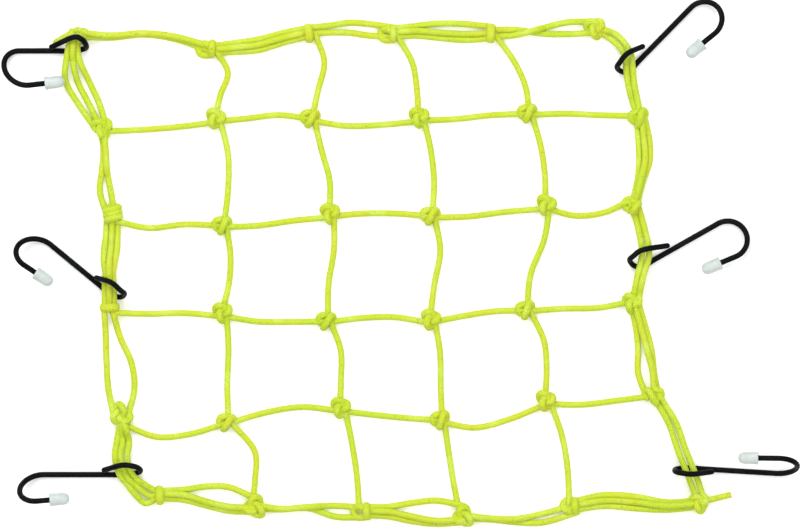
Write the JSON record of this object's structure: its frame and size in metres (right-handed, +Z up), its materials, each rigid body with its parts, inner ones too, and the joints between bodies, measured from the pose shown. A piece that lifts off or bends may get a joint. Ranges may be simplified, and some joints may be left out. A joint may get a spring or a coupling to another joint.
{
  "type": "stretch net",
  "caption": "Knotted elastic cord cargo net with open wire hooks and soft end caps, lying flat.",
  "frame": {"origin": "on the floor under the middle of the whole part, hooks included", "axes": "+X along the net's top edge, +Y up the net as it lies, +Z up from the floor"},
  "size_m": [0.598, 0.3962, 0.031],
  "materials": {
    "elastic_cord": "fluorescent yellow braided cover over an elastic core",
    "coated_wire": "steel wire dip coated in satin black vinyl",
    "soft_cap": "frosted, slightly see-through soft vinyl"
  },
  "bodies": {
    "root": {"net": "elastic_cord", "hook_1": "coated_wire", "hook_2": "coated_wire", "hook_3": "coated_wire", "hook_4": "coated_wire", "hook_5": "coated_wire", "hook_6": "coated_wire", "cap_1": "soft_cap", "cap_2": "soft_cap", "cap_3": "soft_cap", "cap_4": "soft_cap", "cap_5": "soft_cap", "cap_6": "soft_cap"}
  },
  "joints": []
}
